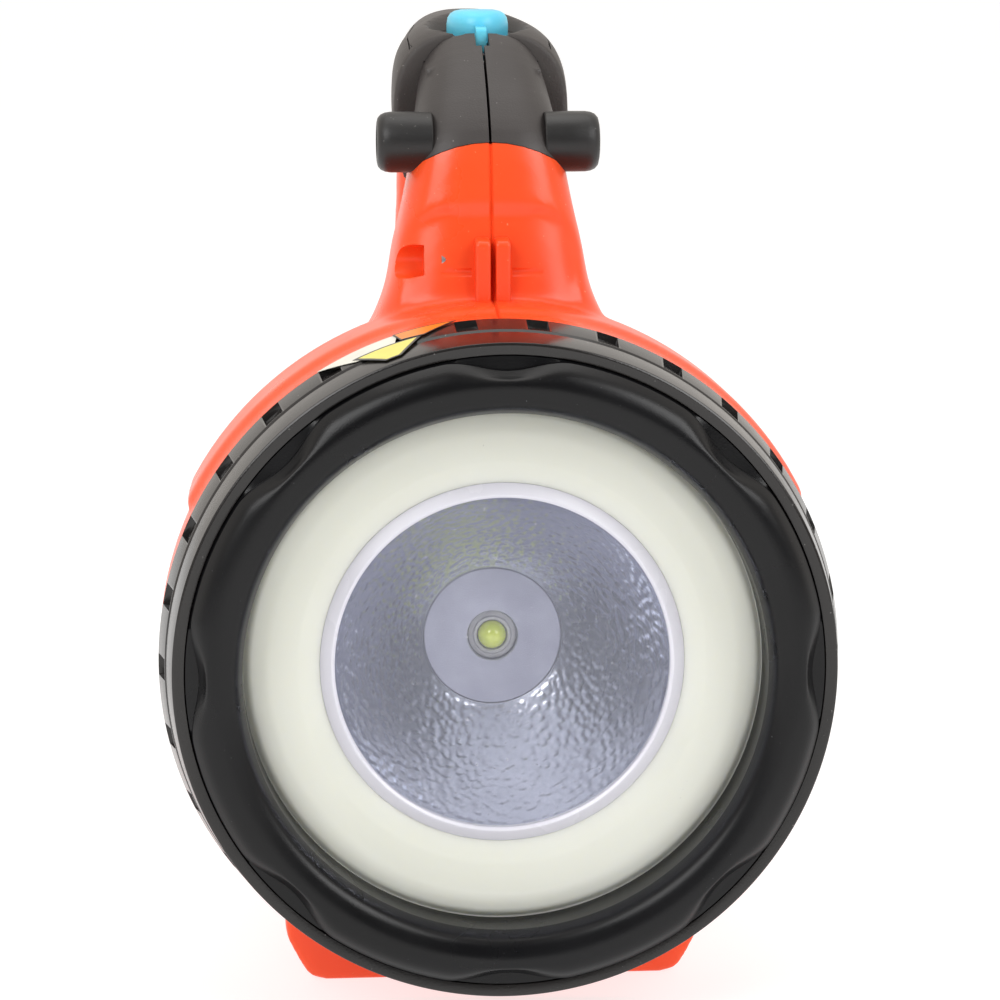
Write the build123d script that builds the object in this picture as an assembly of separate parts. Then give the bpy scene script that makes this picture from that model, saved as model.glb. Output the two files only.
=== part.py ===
from build123d import *
from math import cos, radians, sin
import os

# Firefighter's hand lamp. Millimetres, +Z up, the lamp shines along -Y.
# Everything is laid out about the lamp's optical axis, with y = 0 in the plane of the head
# ring's front edge. placed() then moves it so that the origin is at the bottom centre.

os.makedirs("parts", exist_ok=True)

# Driving dimensions
axisHeight = 66.0        # lamp axis above the surface it stands on
lengthFront = -4.0       # crest of the bezel roll
lengthRear = 186.0       # back of the body
ringFrontR = 60.0
ringRearR = 62.8
ringRearY = 15.6
ringStepY = 8.6
bezelOuterR = 57.9
bezelLipR = 47.5
rollCrestR = 52.5
fluteCount = 8
fluteDepth = 2.1
fluteHalfAngle = 11.4
notchCount = 30
notchWidth = 4.0
notchFrontY = 9.1
notchRearY = 15.0
notchFloorR = 61.55
threadR = 56.9
threadClearance = 0.1
neckFrontY = 12.4
wall = 2.6
barrelR = 62.7
saddleR = 64.0
saddleHalfAngle = 64.0
rearBodyR = 42.0
shoulderY = 15.9
barrelEndY = 30.0
taperEndY = 104.0
postArchTop = 93.0
postArchR = 24.1
collarArchTop = 81.2
collarArchR = 26.4
barHalfWidth = 17.0      # at the front; the bar narrows towards the rear
barMiddleHalfWidth = 14.2
barRearHalfWidth = 11.7
sleeveWall = 3.3
sleeveFrontY = 63.0
sleeveRearY = 148.0
rearPostTop = 88.0
pegR = 5.75
pegY = 46.0
pegZ = 92.8
pegRoot = 14.6
pegCollar = 17.0
pegReach = 21.0
buttonY = 73.0
buttonTop = 117.0
buttonHalfX = 6.0
buttonHalfY = 7.5
reflectorFocus = 32.7    # r * r = reflectorFocus * (reflectorVertexY - y)
reflectorVertexY = 40.3
reflectorRearY = 35.0
reflectorFrontY = 11.2
reflectorWall = 1.0
ledHoleR = 4.7
lensR = 30.7
collarOuterR = 33.4
cellR = 9.2
cellLength = 65.0
cellPitch = 19.2
cellFrontY = 80.0
cellCentreZ = -12.0
footHalfWidth = 39.9
footBaseHalfWidth = 35.2
footRearY = 168.0
footFrontY = 31.0
footCorner = 8.0
footEdge = 4.5


def lathe(points):
    return revolve(make_face(Polyline(*points, close=True)), Axis.Y)


def lathePath(*edges):
    return revolve(make_face(Wire(list(edges))), Axis.Y)


def sideSlab(face, halfWidth):
    return extrude(Plane.YZ * face, amount=halfWidth, both=True)


def frontSlab(face, startY, endY):
    return extrude(Plane.XZ.offset(-startY) * face, amount=startY - endY)


def block(x0, x1, y0, y1, z0, z1):
    centre = Pos((x0 + x1) / 2, (y0 + y1) / 2, (z0 + z1) / 2)
    return centre * Box(x1 - x0, y1 - y0, z1 - z0)


def rodAlongY(radius, y0, y1, x=0, z=0):
    return Pos(x, (y0 + y1) / 2, z) * Rot(90, 0, 0) * Cylinder(radius, y1 - y0)


def rodAlongX(radius, x0, x1, y, z):
    return Pos((x0 + x1) / 2, y, z) * Rot(0, 90, 0) * Cylinder(radius, abs(x1 - x0))


def aroundAxis(shape, angle):
    return Rot(0, angle, 0) * shape


def placed(shape):
    return Pos(0, -(lengthFront + lengthRear) / 2, axisHeight) * shape


def save(name, shape):
    export_step(placed(shape), "parts/" + name + ".step")


def group(shapes):
    return Compound(children=list(shapes))


# Head: bezel roll, threaded ring and what shines through them

def frontBezel():
    innerWall = Polyline((bezelOuterR, ringStepY), (bezelLipR, ringStepY), (bezelLipR, 7.6), (48.0, 1.0))
    innerRoll = ThreePointArc((48.0, 1.0), (49.4, -2.6), (rollCrestR, lengthFront))
    outerRoll = ThreePointArc((rollCrestR, lengthFront), (56.0, -2.7), (bezelOuterR, 1.2))
    rim = Line((bezelOuterR, 1.2), (bezelOuterR, ringStepY))
    roll = lathePath(*innerWall.edges(), innerRoll.edge(), outerRoll.edge(), rim.edge())
    halfChord = bezelOuterR * sin(radians(fluteHalfAngle))
    edgeDrop = fluteDepth - bezelOuterR * (1 - cos(radians(fluteHalfAngle)))
    fluteR = (halfChord ** 2 + edgeDrop ** 2) / (2 * edgeDrop)
    for i in range(fluteCount):
        flute = rodAlongY(fluteR, lengthFront - 2, 1.2, z=bezelOuterR - fluteDepth + fluteR)
        roll -= aroundAxis(flute, 360 / fluteCount * i)
    return roll


def ringSurface(y):
    return ringFrontR + (ringRearR - ringFrontR) * y / ringRearY


def headRing():
    boreR = threadR + threadClearance
    front = [(bezelOuterR + 0.05, 1.2), (ringFrontR - 0.8, 0.4), (ringFrontR, 0.0)]
    tier = [(ringSurface(7.8), 7.8), (ringSurface(7.8) - 0.5, 8.4), (ringSurface(9.0), 9.0)]
    rear = [(ringRearR, ringRearY), (boreR, ringRearY), (boreR, ringStepY), (bezelOuterR + 0.05, ringStepY)]
    ring = lathe(front + tier + rear)
    roundY = notchFrontY + notchWidth / 2
    slot = block(-notchWidth / 2, notchWidth / 2, roundY, notchRearY, notchFloorR, 70)
    slot += Pos(0, roundY, (notchFloorR + 70) / 2) * Cylinder(notchWidth / 2, 70 - notchFloorR)
    for i in range(notchCount):
        ring -= aroundAxis(slot, 360 / notchCount * (i + 0.5))
    return ring


def blankLabel():
    # Film over the ring's upper left, cut out as seen from above
    inner = [(ringSurface(y) + 0.02, y) for y in (1.4, 15.4)]
    outer = [(r + 0.2, y) for r, y in reversed(inner)]
    front = [(-26.6, 10.0), (-21.4, 2.5), (-18.8, 2.7), (-14.2, 10.4)]
    outline = make_face(Polyline((-33.0, 15.2), *front, (-8.0, 15.2), close=True))
    return lathe(inner + outer) & Pos(0, 0, 40) * extrude(outline, 30)


def ringDiffuser():
    dome = ThreePointArc((33.5, 10.9), (40.6, 8.3), (47.4, 7.7))
    flange = Polyline((47.4, 7.7), (47.4, 8.7), (55.0, 8.7), (55.0, 10.5), (46.0, 10.5), (33.5, 12.7))
    inner = Line((33.5, 12.7), (33.5, 10.9))
    return lathePath(dome.edge(), *flange.edges(), inner.edge())


def innerCollar():
    return lathe([(30.75, 9.5), (31.3, 9.1), (collarOuterR, 10.3), (collarOuterR, 11.1), (30.75, 11.1)])


def lensDisc():
    return rodAlongY(lensR, 9.3, 11.0)


def lensSeal():
    return lathe([(31.95, 11.1), (collarOuterR, 11.1), (collarOuterR, 12.6), (31.95, 12.6)])


def headGasket():
    return lathe([(53.3, 10.6), (55.9, 10.6), (55.9, neckFrontY), (53.3, neckFrontY)])


def reflectorR(y):
    return (reflectorFocus * (reflectorVertexY - y)) ** 0.5


def parabola(offset, rearY, frontY):
    rearR = reflectorR(rearY)
    frontR = reflectorR(frontY)
    controlY = reflectorVertexY - rearR * frontR / reflectorFocus
    ends = [(rearR + offset, rearY), ((rearR + frontR) / 2 + offset, controlY), (frontR + offset, frontY)]
    return Bezier(*ends)


def reflector():
    inside = parabola(0, reflectorRearY, reflectorFrontY)
    outside = parabola(reflectorWall, reflectorRearY, reflectorFrontY)
    frontLip = Line(inside @ 1, outside @ 1)
    rearLip = Line(inside @ 0, outside @ 0)
    shell = lathePath(inside.edge(), frontLip.edge(), outside.edge(), rearLip.edge())
    flange = lathe([(reflectorR(24.2) + 0.5, 23.0), (30.0, 23.0), (30.0, 24.2), (reflectorR(24.2) + 0.5, 24.2)])
    return shell + flange


def reflectorDisc():
    outerR = reflectorR(reflectorRearY) - 0.02
    return lathe([(ledHoleR, 35.0), (outerR, 35.0), (outerR, 35.8), (ledHoleR, 35.8)])


def ledEmitter():
    return block(-2.9, 2.9, 35.7, 36.7, -2.9, 2.9) - Pos(0, 36.3, 0) * Sphere(2.72)


def ledDome():
    return Pos(0, 36.3, 0) * Sphere(2.7) & block(-4, 4, 30, 36.3, -4, 4)


def starBoard():
    star = rodAlongY(10.0, 36.7, 38.3)
    for i in range(6):
        star -= aroundAxis(rodAlongY(1.7, 36, 39, z=10.0), 60 * i)
    return star


def heatSink():
    sink = rodAlongY(30.0, 38.3, 42.0)
    for i in range(7):
        x = -15 + 5 * i
        reach = (19.0 ** 2 - x ** 2) ** 0.5
        sink += block(x - 1, x + 1, 42.0, 60.0, -reach, reach)
    return sink


def lightChassis():
    return lathe([(26.6, 21.0), (49.6, 21.0), (49.6, 13.2), (52.4, 13.2), (52.4, 23.0), (26.6, 23.0)])


def ringBoard():
    return lathe([(33.0, 19.4), (49.2, 19.4), (49.2, 21.0), (33.0, 21.0)])


def ringLeds():
    chip = block(-1.75, 1.75, 17.8, 19.4, 39.6, 42.4)
    return group(aroundAxis(chip, 15 * i) for i in range(24))


def bulkhead():
    return lathe([(20.0, 42.0), (56.0, 42.0), (55.2, 44.6), (20.0, 44.6)])


def standoffs():
    post = rodAlongY(3.0, 23.0, 42.0, z=42.0)
    return group(aroundAxis(post, 60 + 120 * i) for i in range(3))


# Housing and handle

def handleSide():
    front = Polyline((31.5, 20), (31.5, 58), (32.4, 63), (39, 93))
    bend = ThreePointArc((39, 93), (48.5, 103.5), (63, 113.5))
    top = ThreePointArc((63, 113.5), (84, 115.7), (106, 116.3))
    back = ThreePointArc((106, 116.3), (144, 110.8), (164, 93))
    rear = Polyline((164, 93), (170, 70), (172, 20), (31.5, 20))
    edges = list(front.edges()) + [bend.edge(), top.edge(), back.edge()] + list(rear.edges())
    return make_face(Wire(edges))


def handGap():
    leg = Line((58, 10), (61, 70))
    frontBend = ThreePointArc((61, 70), (66, 84.5), (78, 90.2))
    palm = Line((78, 90.2), (132, 91))
    rearBend = ThreePointArc((132, 91), (145.5, 85), (150, 72))
    rear = Polyline((150, 72), (151, 10), (58, 10))
    edges = [leg.edge(), frontBend.edge(), palm.edge(), rearBend.edge()] + list(rear.edges())
    return make_face(Wire(edges))


def postWidth(grow):
    halfWidths = [(26.0, 58.0), (21.2, 61.2), (19.5, 66.0), (16.1 + grow, 86.0), (15.4 + grow, 93.0)]
    upper = [(13.2 + grow, 103.0), (10.6 + grow, 112.0), (8.0 + grow, 124.0)]
    right = [(30.0, 20.0)] + halfWidths + upper
    left = [(-x, z) for x, z in reversed(right)]
    return make_face(Polyline(*(right + left), close=True))


def frontPostSolid():
    bar = sideSlab(handleSide() - handGap(), 40)
    return bar & frontSlab(postWidth(0), 20, sleeveFrontY)


def barPlan(inset):
    # The bar seen from above, narrowing towards the rear
    right = [(barHalfWidth - inset, 40), (barHalfWidth - inset, 72), (barMiddleHalfWidth - inset, 100),
             (barRearHalfWidth - inset, 140), (barRearHalfWidth - inset, 180)]
    left = [(-x, y) for x, y in reversed(right)]
    return extrude(make_face(Polyline(*(right + left), close=True)), 140)


def handleBar(startY, endY, startZ):
    bar = sideSlab(handleSide() - handGap(), 40) & barPlan(0)
    return bar & block(-40, 40, startY, endY, startZ, 130)


def coreBar(startY, endY):
    # The shells' part inside the sleeve, about 3 mm in from the sleeve's surface
    top = ThreePointArc((160, 99.0), (104, 112.9), (50, 106.0))
    sides = Polyline((50, 106.0), (50, 94), (160, 94), (160, 99.0))
    face = make_face(Wire([top.edge()] + list(sides.edges())))
    return sideSlab(face, 40) & barPlan(sleeveWall) & block(-40, 40, startY, endY, 90, 130)


def archBelow(top, radius, startY, endY):
    return rodAlongY(radius, startY, endY, z=top - radius) + block(-40, 40, startY, endY, 0, top - radius)


def rearPostSolid():
    bar = sideSlab(handleSide() - handGap(), 40)
    narrow = barRearHalfWidth
    sides = [(narrow, 124), (narrow, 60), (narrow + 2, 48), (narrow + 6, 41), (26, 32), (26, 10)]
    widths = make_face(Polyline(*(sides + [(-x, z) for x, z in reversed(sides)]), close=True))
    return bar & frontSlab(widths, 140, 175)


def footSection(inset):
    base = -axisHeight + inset
    low = footBaseHalfWidth - inset
    wide = footHalfWidth - inset
    right = [(low, base), (wide, -57.0), (wide, -30.0), (wide - 10, 0.0)]
    left = [(-x, z) for x, z in reversed(right)]
    face = make_face(Polyline(*(right + left), close=True))
    corners = face.vertices().sort_by(Axis.Y)
    face = fillet(corners[2:4], footCorner - inset)
    return fillet(face.vertices().sort_by(Axis.Y)[0:2], footEdge - inset)


def barrelProfile(inset):
    rear = lengthRear - inset
    return [(barrelR - inset, shoulderY + inset), (barrelR - inset, barrelEndY + inset * 0.4),
            (rearBodyR - inset, taperEndY), (rearBodyR - 1.5 - inset, 176.0), (33.0 - inset, rear),
            (0, rear), (0, shoulderY + inset)]


def pegSockets():
    sockets = []
    for side in (-1, 1):
        sockets.append(rodAlongX(3.05, side * 9, side * 30, pegY, pegZ))
        sockets.append(rodAlongX(pegR + 0.05, side * pegRoot, side * 30, pegY, pegZ))
    return sockets


def screwPlaces():
    return [(38.2, 71.0), (161.0, 74.0), (44.0, -60.5), (158.0, -60.5)]


def housing():
    body = lathe(barrelProfile(0))
    body += lathe([(52.8, neckFrontY), (threadR, neckFrontY), (threadR, shoulderY + 1), (52.8, shoulderY + 1)])
    saddle = lathe([(55, 22.0), (saddleR - 0.8, 22.0), (saddleR, 24.0), (saddleR, 40.0), (58, 50.0), (50, 50.0)])
    spread = 140 * sin(radians(saddleHalfAngle))
    rise = 140 * cos(radians(saddleHalfAngle))
    sector = [(0, 0), (spread, rise), (spread, 140), (-spread, 140), (-spread, rise)]
    body += saddle & frontSlab(make_face(Polyline(*sector, close=True)), 20, 52)
    body += frontSlab(footSection(0), footFrontY, footRearY)
    front = frontPostSolid() & archBelow(postArchTop, postArchR, 20, 72)
    collar = sideSlab(handleSide() - handGap(), 40) & frontSlab(postWidth(0.6), 20, 60)
    collar = Pos(0, -0.7, 0) * (collar & block(-40, 40, 20, 60, 70, 130))
    collar &= archBelow(postArchTop, postArchR, 20, 72)
    collar -= archBelow(collarArchTop, collarArchR, 19, 73)
    body += front + collar
    for x in (-2.0, 2.0):
        fin = make_face(Polyline((32.0, 58.0), (32.0, 73.0), (33.4, 75.0), (37.0, 75.0), (36.0, 58.0), close=True))
        body += Pos(x, 0, 0) * sideSlab(fin, 1.15)
    body += rearPostSolid() & block(-40, 40, 140, 175, 10, rearPostTop)
    body -= lathe(barrelProfile(wall))
    body -= rodAlongY(52.8, 8.0, 22.0)
    body -= frontSlab(footSection(wall), footFrontY + wall, footRearY - wall)
    body -= block(-5, 5, 46, 56, 40, 100)
    for y, z in screwPlaces():
        body += rodAlongX(4.2, -12, 12, y, z) if z < 0 else rodAlongX(4.2, -9, 9, y, z)
        body -= rodAlongX(1.55, -10, 10, y, z)
        body -= rodAlongX(2.95, -45, -7, y, z)
    for x in (-9, 9):
        body -= rodAlongY(3.05, 160, 190, x=x, z=-50)
    body -= rodAlongY(4.05, 180, 190, z=8)
    return body - pegSockets()


def gripCore():
    front = frontPostSolid() & block(-40, 40, 20, sleeveFrontY, 80, 130)
    front -= archBelow(postArchTop, postArchR, 19, 72)
    core = front + coreBar(sleeveFrontY, sleeveRearY) + handleBar(sleeveRearY, 175, rearPostTop)
    core -= block(-9, 9, 62, 86, 97.5, 106.5)
    core -= block(-5, 5, 80, 144, 97.5, 102.5)
    core -= block(-5, 5, 50.5, 62, 90, 103)
    core -= Pos(0, buttonY, 105) * extrude(Ellipse(buttonHalfX + 0.4, buttonHalfY + 0.4), 20)
    return core - pegSockets()


def gripSleeve():
    sleeve = handleBar(sleeveFrontY, sleeveRearY, 70)
    sleeve -= coreBar(sleeveFrontY - 1, sleeveRearY + 1)
    sleeve -= block(-40, 40, 140, sleeveRearY + 1, 60, rearPostTop)
    sleeve -= Pos(0, buttonY, 100) * extrude(Ellipse(buttonHalfX + 3.0, buttonHalfY + 3.6), 30)
    return sleeve


def powerButton():
    cap = Pos(0, buttonY, 110.5) * extrude(Ellipse(buttonHalfX, buttonHalfY), buttonTop - 110.5)
    cap = fillet(cap.edges().sort_by(Axis.Z)[-1], 1.8)
    return cap + Pos(0, buttonY, 109.0) * Cylinder(1.8, 5.0)


def switchModule():
    return block(-6, 6, 66, 80, 99.0, 103.4) - Pos(0, buttonY, 103) * Cylinder(2.2, 3.0)


def buttonSpring():
    wireR = 0.35
    coilR = 3.2
    coil = Helix(1.6, 6.2, coilR)
    section = Plane(coil @ 0, z_dir=coil % 0) * Circle(wireR)
    return Pos(0, buttonY, 103.8) * sweep(section, path=coil, is_frenet=True)


def strapPeg(side):
    root = Polyline((0, 10.0), (3.0, 10.0), (3.0, pegRoot), (pegR - 0.3, pegRoot), (pegR, pegCollar))
    face = Line((pegR, pegCollar), (pegR, 20.0))
    dome = ThreePointArc((pegR, 20.0), (pegR - 0.3, 20.7), (pegR - 1.0, pegReach))
    end = Polyline((pegR - 1.0, pegReach), (0, pegReach), (0, 10.0))
    knob = lathePath(*root.edges(), face.edge(), dome.edge(), *end.edges())
    return Pos(0, pegY, pegZ) * Rot(0, 0, -90 * side) * knob


# Power and wiring

def cellCentres():
    half = cellPitch / 2
    return [(x, cellCentreZ + z) for x in (-half, half) for z in (-half, half)]


def batteryCells():
    rear = cellFrontY + cellLength
    return group(rodAlongY(cellR, cellFrontY, rear, x, z) for x, z in cellCentres())


def cellFrames():
    frames = []
    for y in (cellFrontY + 4, cellFrontY + cellLength - 8):
        frame = block(-20.5, 20.5, y, y + 4, cellCentreZ - 20.5, cellCentreZ + 20.5)
        for x, z in cellCentres():
            frame -= rodAlongY(cellR + 0.05, y - 1, y + 5, x, z)
        frames.append(frame)
    return group(frames)


def batteryTray():
    floorZ = cellCentreZ - 20.5
    tray = block(-26, 26, 74, 148, floorZ - 3, floorZ)
    for x in (-21.25, 21.25):
        tray += block(x - 0.75, x + 0.75, 74, 148, floorZ, floorZ + 8)
    for y in (78.0, 142.0):
        for x in (-20.0, 20.0):
            tray += Pos(x, y, (floorZ - 3 - axisHeight + wall) / 2) * Cylinder(3, floorZ - 3 + axisHeight - wall)
    return tray


def controlBoard():
    return block(-24, 24, 151, 152.6, -28, 22)


def boardParts():
    chips = [block(-9, 3, 152.6, 154.4, -12, 0), block(8, 16, 152.6, 155.6, 6, 14)]
    chips += [rodAlongY(3.5, 152.6, 162.6, x=x, z=-18) for x in (-14, -5)]
    chips += [block(-18, -8, 147.5, 151, 8, 16)]
    return group(chips)


def chargeContacts():
    studs = []
    for x in (-9, 9):
        stud = rodAlongY(3.0, 163.0, 168.8, x=x, z=-50) + rodAlongY(5.0, 162.0, 165.4, x=x, z=-50)
        studs.append(stud)
    return group(studs)


def rearWindow():
    return rodAlongY(4.0, 180.0, 185.6, z=8) + rodAlongY(5.5, 180.0, 183.4, z=8)


def housingScrews():
    screws = []
    for y, z in screwPlaces():
        screw = rodAlongX(1.5, -7, 9, y, z) + rodAlongX(2.6, -9.4, -7, y, z)
        socket = rodAlongX(1.2, -10, -8.2, y, z)
        screws.append(screw - socket)
    return group(screws)


def tube(points, bends, radius):
    path = FilletPolyline(*points, radius=bends)
    section = Plane(path @ 0, z_dir=path % 0) * Circle(radius)
    return sweep(section, path=path)


def switchLead():
    route = [(0, 66.0, 101.2), (0, 59.0, 101.0), (0, 53.0, 95.0), (0, 52.0, 72.0), (0, 51.5, 46.0)]
    return tube(route, [6, 12, 40], 1.4)


def lampLead():
    route = [(16, 44.7, 26), (16, 62, 26), (12, 90, 22), (6, 120, 18), (4, 147.4, 12)]
    return tube(route, [30, 60, 60], 1.4)


whole = housing()
core = gripCore()
leftSide = block(-100, 0, -50, 250, -100, 200)
rightSide = block(0, 100, -50, 250, -100, 200)

save("front_bezel", frontBezel())
save("head_ring", headRing())
save("blank_label", blankLabel())
save("ring_diffuser", ringDiffuser())
save("inner_collar", innerCollar())
save("lens_disc", lensDisc())
save("lens_seal", lensSeal())
save("head_gasket", headGasket())
save("reflector", reflector())
save("reflector_disc", reflectorDisc())
save("led_emitter", ledEmitter())
save("led_dome", ledDome())
save("star_board", starBoard())
save("heat_sink", heatSink())
save("light_chassis", lightChassis())
save("ring_board", ringBoard())
save("ring_leds", ringLeds())
save("bulkhead", bulkhead())
save("standoffs", standoffs())
save("housing_left", whole & leftSide)
save("housing_right", whole & rightSide)
save("grip_left", core & leftSide)
save("grip_right", core & rightSide)
save("grip_sleeve", gripSleeve())
save("power_button", powerButton())
save("switch_module", switchModule())
save("button_spring", buttonSpring())
save("strap_peg_left", strapPeg(-1))
save("strap_peg_right", strapPeg(1))
save("battery_cells", batteryCells())
save("cell_frames", cellFrames())
save("battery_tray", batteryTray())
save("control_board", controlBoard())
save("board_parts", boardParts())
save("charge_contacts", chargeContacts())
save("rear_window", rearWindow())
save("housing_screws", housingScrews())
save("switch_lead", switchLead())
save("lamp_lead", lampLead())
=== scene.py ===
import bpy
import bmesh
import math
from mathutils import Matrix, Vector, noise


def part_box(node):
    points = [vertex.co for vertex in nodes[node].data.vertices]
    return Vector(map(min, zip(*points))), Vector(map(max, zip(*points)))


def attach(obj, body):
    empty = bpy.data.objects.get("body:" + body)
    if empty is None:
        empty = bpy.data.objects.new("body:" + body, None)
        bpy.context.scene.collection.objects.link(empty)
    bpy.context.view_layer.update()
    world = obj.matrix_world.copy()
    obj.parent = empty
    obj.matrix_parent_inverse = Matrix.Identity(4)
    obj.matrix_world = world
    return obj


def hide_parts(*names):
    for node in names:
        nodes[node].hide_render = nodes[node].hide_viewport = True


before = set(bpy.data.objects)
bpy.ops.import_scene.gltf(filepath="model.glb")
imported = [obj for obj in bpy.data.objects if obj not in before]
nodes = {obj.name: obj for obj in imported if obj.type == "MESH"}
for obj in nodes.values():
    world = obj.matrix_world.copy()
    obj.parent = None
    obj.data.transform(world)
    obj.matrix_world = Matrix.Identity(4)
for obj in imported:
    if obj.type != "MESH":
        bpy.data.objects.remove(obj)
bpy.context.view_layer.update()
for node in nodes.values():
    node.data.materials.clear()

# The lamp's own axis: every place below is x, y behind the head ring's front edge, z above the axis, in mm
lensLow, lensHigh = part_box("lens_disc")
axisZ = (lensLow.z + lensHigh.z) / 2
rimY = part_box("head_ring")[0].y


def place(x, y, z):
    return Vector((x * 0.001, rimY + y * 0.001, axisZ + z * 0.001))


# Mesh helpers

def deselectAll():
    if bpy.context.object and bpy.context.object.mode != "OBJECT":
        bpy.ops.object.mode_set(mode="OBJECT")
    bpy.ops.object.select_all(action="DESELECT")


def pick(piece):
    deselectAll()
    piece.select_set(True)
    bpy.context.view_layer.objects.active = piece


def editAll(piece):
    pick(piece)
    bpy.ops.object.mode_set(mode="EDIT")
    bpy.ops.mesh.select_all(action="SELECT")


def leaveEdit():
    bpy.ops.object.mode_set(mode="OBJECT")


def outwards(piece):
    editAll(piece)
    bpy.ops.mesh.remove_doubles(threshold=0.000002)
    bpy.ops.mesh.normals_make_consistent(inside=False)
    leaveEdit()


def smooth(piece, angle=38):
    pick(piece)
    bpy.ops.object.shade_smooth_by_angle(angle=math.radians(angle))


def loop(name, points, filled):
    # A ring of vertices laid out on the given points
    deselectAll()
    fill = "NGON" if filled else "NOTHING"
    bpy.ops.mesh.primitive_circle_add(vertices=len(points), radius=0.01, fill_type=fill)
    piece = bpy.context.object
    piece.name = name
    for vertex, point in zip(piece.data.vertices, points):
        vertex.co = point
    piece.location = (0, 0, 0)
    return piece


def rounded(corners):
    # Corners are (a, b, radius); each radius is drawn as an arc of a few points
    points = []
    count = len(corners)
    for i, (a, b, radius) in enumerate(corners):
        here = Vector((a, b))
        before = Vector(corners[i - 1][:2]) - here
        after = Vector(corners[(i + 1) % count][:2]) - here
        half = before.angle(after) / 2
        if radius <= 0 or half > 1.56:
            points.append(here)
            continue
        reach = min(radius / math.tan(half), before.length * 0.49, after.length * 0.49)
        size = reach * math.tan(half)
        centre = here + (before.normalized() + after.normalized()).normalized() * (size / math.sin(half))
        start = here + before.normalized() * reach - centre
        end = here + after.normalized() * reach - centre
        turn = start.angle_signed(end)
        steps = max(3, int(abs(turn) / 0.22))
        for k in range(steps + 1):
            angle = -turn * k / steps
            c, s = math.cos(angle), math.sin(angle)
            points.append(centre + Vector((start.x * c - start.y * s, start.x * s + start.y * c)))
    return points


def turned(name, corners, steps=256):
    # An outline of (radius, y, corner) turned once round the lamp's axis
    points = [place(r, y, 0) for r, y in rounded(corners)]
    piece = loop(name, points, False)
    editAll(piece)
    bpy.ops.mesh.spin(steps=steps, angle=math.tau, center=place(0, 0, 0), axis=(0, 1, 0))
    leaveEdit()
    outwards(piece)
    return piece


def lofted(name, rings):
    # Rings of points of the same count, joined one to the next and closed at both ends
    piece = loop(name, rings[0], True)
    editAll(piece)
    for ring in rings[1:]:
        bpy.ops.mesh.extrude_region_move(TRANSFORM_OT_translate={"value": (0, 0, 0)})
        mesh = bmesh.from_edit_mesh(piece.data)
        fresh = sorted((v for v in mesh.verts if v.select), key=lambda v: v.index)
        for vertex, point in zip(fresh, ring):
            vertex.co = point
        bmesh.update_edit_mesh(piece.data)
    leaveEdit()
    outwards(piece)
    return piece


def slab(name, corners, startX, endX):
    # A side outline of (y, z, corner) carried from one x to another
    outline = rounded(corners)
    return lofted(name, [[place(x, y, z) for y, z in outline] for x in (startX, endX)])


def applyModifier(piece, kind, **settings):
    pick(piece)
    modifier = piece.modifiers.new(kind.lower(), kind)
    for key, value in settings.items():
        setattr(modifier, key, value)
    bpy.ops.object.modifier_apply(modifier=modifier.name)


def combine(piece, other, how):
    applyModifier(piece, "BOOLEAN", object=other, operation=how, solver="EXACT")
    bpy.data.objects.remove(other)


def copyOf(piece, name):
    twin = piece.copy()
    twin.data = piece.data.copy()
    twin.name = name
    bpy.context.scene.collection.objects.link(twin)
    return twin


def moulded(piece, voxel, rounds):
    # Melts the joins of a piece together into small fillets
    applyModifier(piece, "REMESH", mode="VOXEL", voxel_size=voxel * 0.001)
    applyModifier(piece, "SMOOTH", factor=0.5, iterations=rounds)


def bevelled(piece, width, segments=3, angle=32):
    applyModifier(piece, "BEVEL", width=width * 0.001, segments=segments, limit_method="ANGLE",
                  angle_limit=math.radians(angle), harden_normals=False)


def cutAt(piece, point, normal):
    # Takes away what lies on the normal's side
    editAll(piece)
    bpy.ops.mesh.bisect(plane_co=point, plane_no=normal, use_fill=True, clear_outer=True)
    leaveEdit()


def halves(piece, leftName, rightName, gap):
    # Known fault: the cap that closes each cut also closes the housing's hand gap
    right = copyOf(piece, rightName)
    piece.name = leftName
    cutAt(piece, place(-gap / 2, 0, 0), (1, 0, 0))
    cutAt(right, place(gap / 2, 0, 0), (-1, 0, 0))
    for side in (piece, right):
        outwards(side)
    return piece, right


def aroundAxis(piece, angle):
    editAll(piece)
    bpy.ops.transform.rotate(value=angle, orient_axis="Y", center_override=place(0, 0, 0))
    leaveEdit()


def joined(pieces):
    deselectAll()
    for piece in pieces:
        piece.select_set(True)
    bpy.context.view_layer.objects.active = pieces[0]
    bpy.ops.object.join()
    return pieces[0]


def stand(piece, body, material, *replaced):
    piece.data.materials.clear()
    piece.data.materials.append(material)
    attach(piece, body)
    if replaced:
        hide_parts(*replaced)


def rise(low, high, value):
    t = min(1.0, max(0.0, (value - low) / (high - low)))
    return t * t * (3 - 2 * t)


# Materials

def nodeMaterial(name):
    material = bpy.data.materials.new(name)
    material.use_nodes = True
    tree = material.node_tree
    return material, tree, tree.nodes["Principled BSDF"]


def noiseAt(tree, scale, detail=4.0, roughness=0.5):
    coords = tree.nodes.new("ShaderNodeTexCoord")
    texture = tree.nodes.new("ShaderNodeTexNoise")
    texture.inputs["Scale"].default_value = scale
    texture.inputs["Detail"].default_value = detail
    texture.inputs["Roughness"].default_value = roughness
    tree.links.new(coords.outputs["Object"], texture.inputs["Vector"])
    return texture


def ramp(tree, source, stops):
    colours = tree.nodes.new("ShaderNodeValToRGB")
    elements = colours.color_ramp.elements
    while len(elements) < len(stops):
        elements.new(0.5)
    for element, (position, colour) in zip(elements, stops):
        element.position = position
        element.color = (*colour, 1)
    tree.links.new(source, colours.inputs["Fac"])
    return colours


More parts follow.
